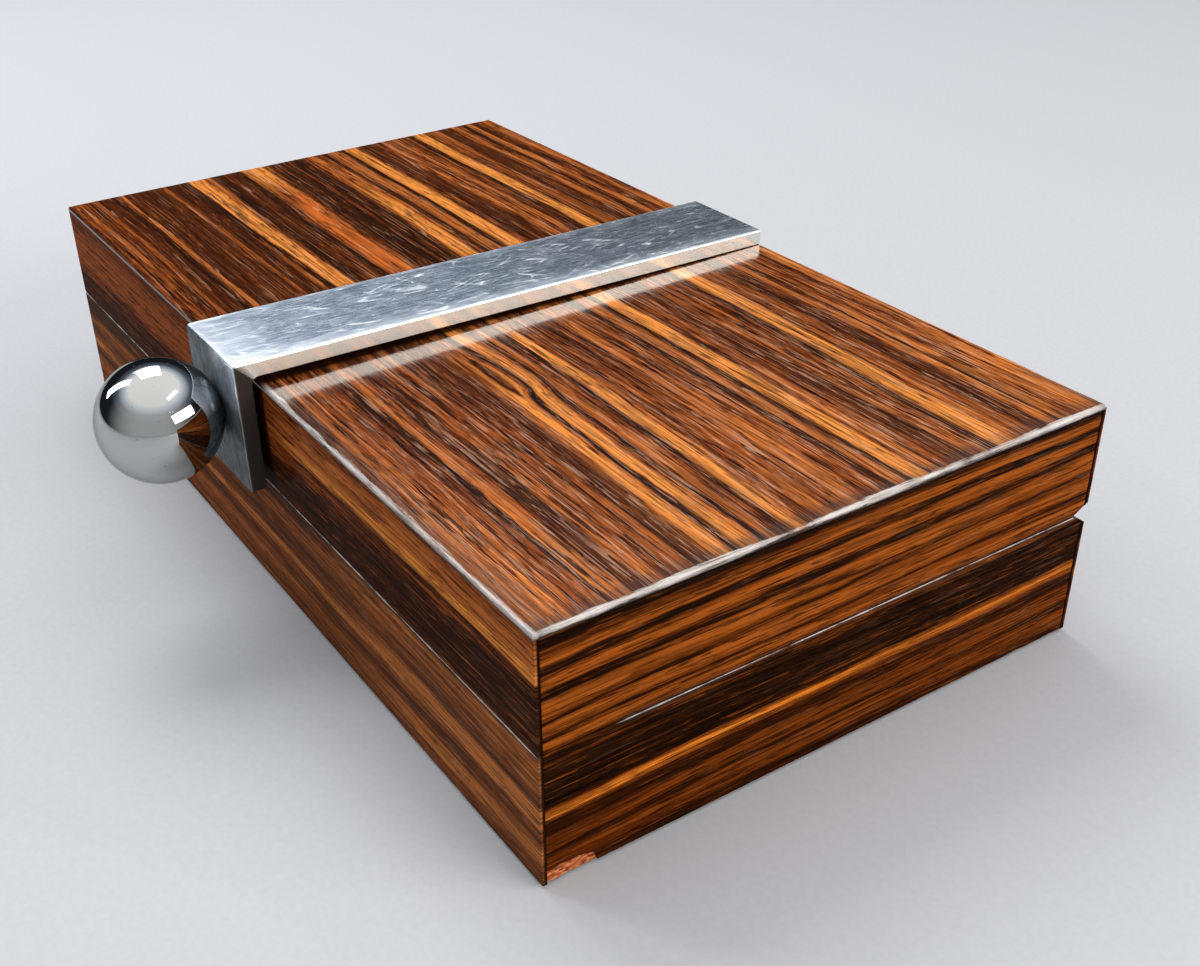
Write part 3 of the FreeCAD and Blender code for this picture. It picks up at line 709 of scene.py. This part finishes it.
# %% Strap finish
strap_low, strap_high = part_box("strap")
mitre = strap_low.y + strap_high.z
strap = Finish("nickel_strap", {"Specular IOR Level": 0.0})
x, y, z = (strap.place[axis] for axis in "XYZ")
run = y + z
brush = strap.noise(x * 4200.0, run * 130.0, 0.0, detail=3.0, rough=0.6)
dash = strap.smooth(strap.noise(x * 3400.0, run * 420.0, 3.0, detail=2.0), 0.58, 0.70)
cloud = strap.noise(x * 420.0, run * 190.0, 5.0, detail=5.0, rough=0.65)
side = strap.smooth(abs(x), half_strap - 0.20 * mm, half_strap - 0.03 * mm)
drop = strap.smooth(run, mitre + 0.2 * mm, mitre - 0.1 * mm)
front = strap.smooth(y, -42 * mm, -53.5 * mm) * (1.0 - drop)
back = strap.smooth(y, -10 * mm, 40 * mm)
rubbed = strap.smooth(x, 5.5 * mm, 9.6 * mm) * 0.28 + strap.smooth(x, -8.2 * mm, -9.7 * mm) * 0.22
streak = strap.smooth(brush, 0.47, 0.66)
scuff = rubbed + front * 0.26 + (cloud - 0.46) * 0.55 + streak * 0.22 + dash * 0.40
for rate, slope, seed in ((160.0, 0.15, 2.0), (240.0, -0.40, 6.0), (320.0, 0.80, 9.0)):
    scratch = strap.noise((x - run * slope) * rate, (run + x * slope) * rate * 0.12, seed, detail=1.0)
    broken = strap.smooth(strap.noise(x * 260.0, run * 160.0, seed + 1.0), 0.50, 0.62)
    scuff = scuff + strap.smooth(abs(scratch - 0.5), 0.011, 0.003) * broken * 0.5
fleck = strap.smooth(strap.noise(x * 3200.0, run * 2200.0, 21.0, detail=1.0), 0.66, 0.74)
fleck = fleck * strap.smooth(cloud, 0.48, 0.58)
scuff = strap.math("MAXIMUM", strap.math("MINIMUM", scuff + fleck, 1.0), 0.0)
# Painted reflection: below the bend the plate is darkened and made partly non-metallic, less so at its right
# top corner.
corner = strap.smooth(x, -2 * mm, 8 * mm) * strap.smooth(z, 36 * mm, 41 * mm)
painted_reflection = drop * (0.94 - corner * 0.95 - (cloud - 0.5) * 0.6) * (1.0 - side)

clean, clean_back, scuffed = (0.64, 0.76, 0.92), (0.58, 0.66, 0.76), (0.92, 0.93, 0.92)
clean_side, painted_dark, painted_dark_side = (0.74, 0.75, 0.71), (0.055, 0.065, 0.068), (0.030, 0.020, 0.016)
metal = strap.mix(back, clean, clean_back)
metal = strap.mix(scuff, metal, scuffed)
metal = strap.mix(side, metal, clean_side)
metal = strap.mix(painted_reflection, metal, painted_dark)
# Painted reflection: the drop's side is nearly black.
metal = strap.mix(side * drop * 0.95, metal, painted_dark_side)
strap.set({"Base Color": metal, "Metallic": 1.0 - painted_reflection * 0.65 - side * drop * 0.5,
           "Roughness": 0.22 + brush * 0.10 + scuff * (1.0 - side) * 0.26 - side * 0.04,
           "Normal": strap.bump(brush, 0.001 * mm)})
print(f"strap finish, tarnished where y + z is under {1000 * mitre:.1f} mm")

# %% [markdown]
# # Strap with worn arrises
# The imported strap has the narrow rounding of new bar. Here years of rubbing have widened it a little on the
# outside, where it shows as a thin bright line, so the strap is made again: its side view as one face, pushed
# to its width, and then bevelled in turn at the two sides of the bend, along the outer arrises and on the
# rest.

# %% Strap, pushed out from its side view
strap_thick = 2.8 * mm
inner_face = strap_low.y + strap_thick
bend_level = strap_high.z - strap_thick
side_view = [(strap_high.y, lid_top), (strap_high.y, lid_top + strap_thick), (strap_low.y, strap_high.z),
             (strap_low.y, strap_low.z), (inner_face, strap_low.z), (inner_face, bend_level)]
shape = bmesh.new()
shape.faces.new([shape.verts.new((strap_low.x, y, z)) for y, z in side_view])
pushed = bmesh.ops.extrude_face_region(shape, geom=shape.faces[:])
far_side = [part for part in pushed["geom"] if isinstance(part, bmesh.types.BMVert)]
bmesh.ops.translate(shape, vec=(strap_high.x - strap_low.x, 0, 0), verts=far_side)
bmesh.ops.recalc_face_normals(shape, faces=shape.faces[:])
print(f"strap {1000 * (strap_high.x - strap_low.x):.1f} mm wide and {1000 * strap_thick:.1f} mm thick")


# %% Strap, bevelled
def edges_at(y, z):
    """The edges that run across the strap at one corner of its side view."""
    return [edge for edge in shape.edges
            if all((Vector(vert.co.yz) - Vector((y, z))).length < tiny for vert in edge.verts)]


def outer_arrises():
    """The edges between a side and the top or the front."""
    shape.normal_update()
    return [edge for edge in shape.edges
            if any(abs(face.normal.x) > 0.9 for face in edge.link_faces)
            and any(face.normal.z > 0.4 or face.normal.y < -0.4 for face in edge.link_faces)]


inner_bend, outer_bend, worn_arris, small_arris = 1.2 * mm, 0.7 * mm, 0.42 * mm, 0.15 * mm
sharp = math.radians(40)
bevel_edges(shape, edges_at(inner_face, bend_level), inner_bend, 5)
bevel_edges(shape, edges_at(strap_low.y, strap_high.z), outer_bend, 4)
bevel_edges(shape, outer_arrises(), worn_arris, 5)
bevel_edges(shape, [edge for edge in shape.edges if edge.calc_face_angle(0.0) > sharp], small_arris, 2)
link_piece(shape, "strap_worn", "lid", strap.material, "strap")


# %% [markdown]
# # Metals of the ball, the hinges and the screws
# The ball is bright and hard, so its finish is a mirror with a breath of haze and a few pits. The hinges are
# brass, gone dull in patches, and the screws are plain steel. Hinges and screws could be modelled again, but
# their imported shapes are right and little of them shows, so they only get a finish in the slots they have.


# %% Ball, brass and steel
def dress(names, material):
    for name in names:
        for slot in nodes[name].material_slots:
            slot.material = material


ball = Finish("polished_ball", {"Metallic": 1.0, "Specular Tint": (0.6, 0.6, 0.6)})
x, y, z = (ball.place[axis] for axis in "XYZ")
haze = ball.smooth(ball.noise(x * 160.0, y * 160.0, z * 160.0, detail=4.0, rough=0.65), 0.50, 0.75)
pit = ball.smooth(ball.noise(x * 1300.0, y * 1300.0, z * 1300.0, detail=1.0), 0.74, 0.78)
ball.set({"Base Color": ball.mix(pit * 0.5, (0.50, 0.50, 0.49), (0.20, 0.20, 0.20)),
          "Roughness": 0.03 + haze * 0.09 + pit * 0.3})

brass = Finish("dull_brass", {"Metallic": 1.0})
x, y, z = (brass.place[axis] for axis in "XYZ")
patch = brass.noise(x * 300.0, y * 500.0, z * 500.0, detail=3.0)
brass.set({"Base Color": brass.mix(brass.smooth(patch, 0.4, 0.7), (0.62, 0.44, 0.18), (0.40, 0.26, 0.10)),
           "Roughness": 0.28 + patch * 0.20})
dress([name for name in nodes if "hinge" in name and "screws" not in name], brass.material)

steel = Finish("steel_screws", {"Metallic": 1.0, "Base Color": (0.52, 0.52, 0.52), "Roughness": 0.34})
dress([name for name in nodes if name.endswith("screws") or name == "ball_screw"], steel.material)
print("finishes of the ball, the hinges and the screws")

# %% [markdown]
# # Ball
# The ball is a turned sphere, polished to a mirror, with a small flat where it seats on the strap. A mirror
# shows every facet, so the sphere is made anew with many fine faces: a UV sphere, turned so that its poles
# lie on the axis of the screw, and cut by the plane of the strap's face.

# %% Ball
ball_low, ball_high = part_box("ball_knob")
radius = (ball_high.x - ball_low.x) / 2
centre = Vector(((ball_low.x + ball_high.x) / 2, ball_low.y + radius, (ball_low.z + ball_high.z) / 2))
shape = bmesh.new()
bmesh.ops.create_uvsphere(shape, u_segments=128, v_segments=96, radius=radius,
                          matrix=Matrix.Translation(centre) @ Matrix.Rotation(math.pi / 2, 4, "X"))
bmesh.ops.bisect_plane(shape, geom=shape.verts[:] + shape.edges[:] + shape.faces[:], dist=tiny,
                       plane_co=(0, ball_high.y, 0), plane_no=(0, 1, 0), clear_outer=True)
bmesh.ops.holes_fill(shape, edges=[edge for edge in shape.edges if edge.is_boundary])
link_piece(shape, "ball_knob_polished", "lid", ball.material, "ball_knob")


# %% [markdown]
# # Inside: carcass, lining and felt
# Behind the veneer is plain brown hardwood, seen only on the rims when the lid is up. The lining is thin
# reddish cedar, and the underside has black felt. Both woods use one small recipe: growth rings, which
# darken slowly and end at once, with short pores between them. The rings are counted along the sum of the
# two axes that cross the grain, so that one recipe fits the flat boards and the upright ones.


# %% Plain woods
def plain_wood(name, grain, pale, dark, seed, roughness):
    finish = Finish(name, {"Roughness": roughness, "Specular IOR Level": 0.25})
    run = finish.place[grain]
    first, second = (finish.place[axis] for axis in "XYZ" if axis != grain)
    lie = first + second
    sway = finish.noise(run * 9.0, lie * 40.0, seed, detail=2.0)
    ring = finish.math("FRACT", lie * 190.0 + sway * 6.0)
    late = finish.smooth(ring, 0.40, 0.95)
    tone = finish.noise(run * 14.0, lie * 520.0, seed + 2.0, detail=4.0, rough=0.6)
    pore = finish.smooth(finish.noise(run * 150.0, lie * 3600.0, seed + 4.0, detail=1.0), 0.57, 0.68)
    shade = tone - late * 0.10 - pore * 0.10
    finish.set({"Base Color": finish.ramp(shade, [(0.28, dark), (0.56, pale)]),
                "Normal": finish.bump(tone - pore, 0.03 * mm)})
    return finish.material


cedar_pale, cedar_dark = (0.56, 0.29, 0.14), (0.38, 0.17, 0.075)
board_pale, board_dark = (0.26, 0.125, 0.06), (0.15, 0.066, 0.030)
for grain, seed in (("X", 1.0), ("Y", 6.0)):
    sides = ("left", "right") if grain == "Y" else ("front", "back", "floor", "panel")
    cedar = plain_wood(f"cedar_{grain}", grain, cedar_pale, cedar_dark, seed, 0.55)
    board = plain_wood(f"board_{grain}", grain, board_pale, board_dark, seed + 3.0, 0.6)
    dress([name for name in nodes if name.endswith("lining") and name.split("_")[1] in sides], cedar)
    dress([name for name in nodes if name.endswith("wall") and name.split("_")[1] in sides], board)
    if grain == "X":
        dress(["base_floor", "lid_panel"], board)
back_sheets = ["lid_back_veneer", "base_back_veneer"]
dress(back_sheets, back_veneer)
print("carcass, lining and back dressed")

# %% Eased edges of the carcass, the lining and the back
eased = [node for name, node in nodes.items() if name.endswith(("lining", "wall")) or name in back_sheets]
for node in eased:
    node.modifiers.new("one skin", "WELD").merge_threshold = tiny
    ease = node.modifiers.new("eased edges", "BEVEL")
    ease.width, ease.segments = small_arris, 2
    ease.limit_method, ease.angle_limit = "ANGLE", sharp
    node.modifiers.new("even shading", "WEIGHTED_NORMAL").keep_sharp = True
print(len(eased), "pieces with eased edges")

# %% Felt
felt = Finish("black_felt", {"Roughness": 0.95, "Specular IOR Level": 0.1, "Sheen Weight": 0.3,
                             "Sheen Roughness": 0.5})
nap = felt.noise(felt.place["X"] * 1500.0, felt.place["Y"] * 1500.0, felt.place["Z"] * 1500.0, detail=3.0)
felt.set({"Base Color": felt.mix(nap, (0.018, 0.018, 0.018), (0.045, 0.045, 0.045)),
          "Normal": felt.bump(nap, 0.2 * mm)})
felt_low, felt_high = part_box("base_felt")
felt_size = felt_high - felt_low
shape = bmesh.new()
bmesh.ops.create_cube(shape, size=1.0, matrix=Matrix.Translation((felt_low + felt_high) / 2)
                      @ Matrix.Diagonal((*felt_size, 1.0)))
upright = [edge for edge in shape.edges if abs(edge.verts[0].co.z - edge.verts[1].co.z) > tiny]
felt_corner = 1.5 * mm
bevel_edges(shape, upright, felt_corner, 4)
felt_piece = link_piece(shape, "felt_sheet", "base", felt.material, "base_felt")

# %% [markdown]
# # Studio
# A pale plain floor and soft light. The dome is dark near the horizon, so that the polished lid stays deep in
# tone, and white overhead and pale behind the camera, so that the metal has something to mirror. A
# window-like softbox on the right is mirrored by the strap's side, and from there by the lid. A strip above
# it draws the strap's arris. A softbox above the left is the main light, and a tall strip lights the front.

# %% Floor
floor_finish = Finish("pale_floor", {"Roughness": 0.65, "Specular IOR Level": 0.2})
speck = floor_finish.noise(floor_finish.place["X"] * 900.0, floor_finish.place["Y"] * 900.0, 0.0)
floor_finish.set({"Base Color": floor_finish.mix(speck, (0.45, 0.46, 0.48), (0.51, 0.52, 0.54))})
floor_half, floor_drop = 3.0, 0.02 * mm
shape = bmesh.new()
bmesh.ops.create_grid(shape, x_segments=1, y_segments=1, size=floor_half)
bmesh.ops.translate(shape, vec=(0, 0, -floor_drop), verts=shape.verts)
floor_mesh = bpy.data.meshes.new("floor")
shape.to_mesh(floor_mesh)
shape.free()
floor_mesh.materials.append(floor_finish.material)
floor = bpy.data.objects.new("floor", floor_mesh)
bpy.context.collection.objects.link(floor)
floor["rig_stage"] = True
print(f"floor {2 * floor_half:.0f} m wide")


# %% Lamps
def softbox(name, direction, distance, size, radiance, colour=(1.0, 1.0, 1.0)):
    """An area lamp that faces the box from that direction, with its power worked out from its brightness."""
    lamp = bpy.data.lights.new(name, "AREA")
    lamp.shape = "RECTANGLE"
    lamp.size, lamp.size_y = size
    lamp.color = colour
    lamp.energy = radiance * math.pi * size[0] * size[1]
    holder = bpy.data.objects.new(name, lamp)
    bpy.context.collection.objects.link(holder)
    aim = Vector(direction).normalized()
    holder.location = aim * distance
    holder.rotation_euler = aim.to_track_quat("Z", "Y").to_euler()


warm = (1.0, 0.93, 0.86)
softbox("key_softbox", (-0.55, 0.05, 0.83), 0.9, (0.40, 0.40), 7.0)
softbox("right_window", (0.80, 0.44, 0.42), 0.9, (0.70, 0.24), 9.2, warm)
softbox("arris_strip", (0.38, 0.30, 0.88), 0.9, (0.40, 0.10), 1.3)
softbox("left_strip", (-0.66, -0.50, 0.56), 0.8, (0.14, 0.5), 7.5)
print(len(bpy.data.lights), "lamps")

# %% Dome
world = bpy.data.worlds.new("dome")
bpy.context.scene.world = world
sky = Graph(world, "Background")
direction = sky.add("TexCoord", {}, "Generated")
height = sky.add("SeparateXYZ", {0: direction}, "Z")
dome = sky.ramp(height, [(0.0, (0.014, 0.015, 0.017)), (0.40, (0.014, 0.016, 0.020)),
                         (0.58, (0.10, 0.125, 0.16)), (0.70, (0.52, 0.58, 0.66)), (0.80, (1.0, 1.0, 1.0))])
camera_side = (0.80, -0.53, 0.28)
toward_camera = sky.add("VectorMath", {0: direction, 1: camera_side}, "Value", operation="DOT_PRODUCT")
near_wall = sky.smooth(toward_camera, 0.0, 1.0)
sky.set({"Color": sky.mix(near_wall * 0.5, dome, (0.80, 0.81, 0.82)), "Strength": 1.3})
bpy.context.scene.view_settings.view_transform = "Standard"
print("dome lit")

# %% [markdown]
# # Sizes
# A finish must not change the size of the box. So the box round all pieces is measured again, and how much it
# grew since it was measured straight after loading is printed.

# %% Sizes and the end of the script
dressed_low, dressed_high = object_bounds()
growth = (dressed_high - dressed_low) - (cad_high - cad_low)
print("grew by", [round(1000 * length, 3) for length in growth], "mm")
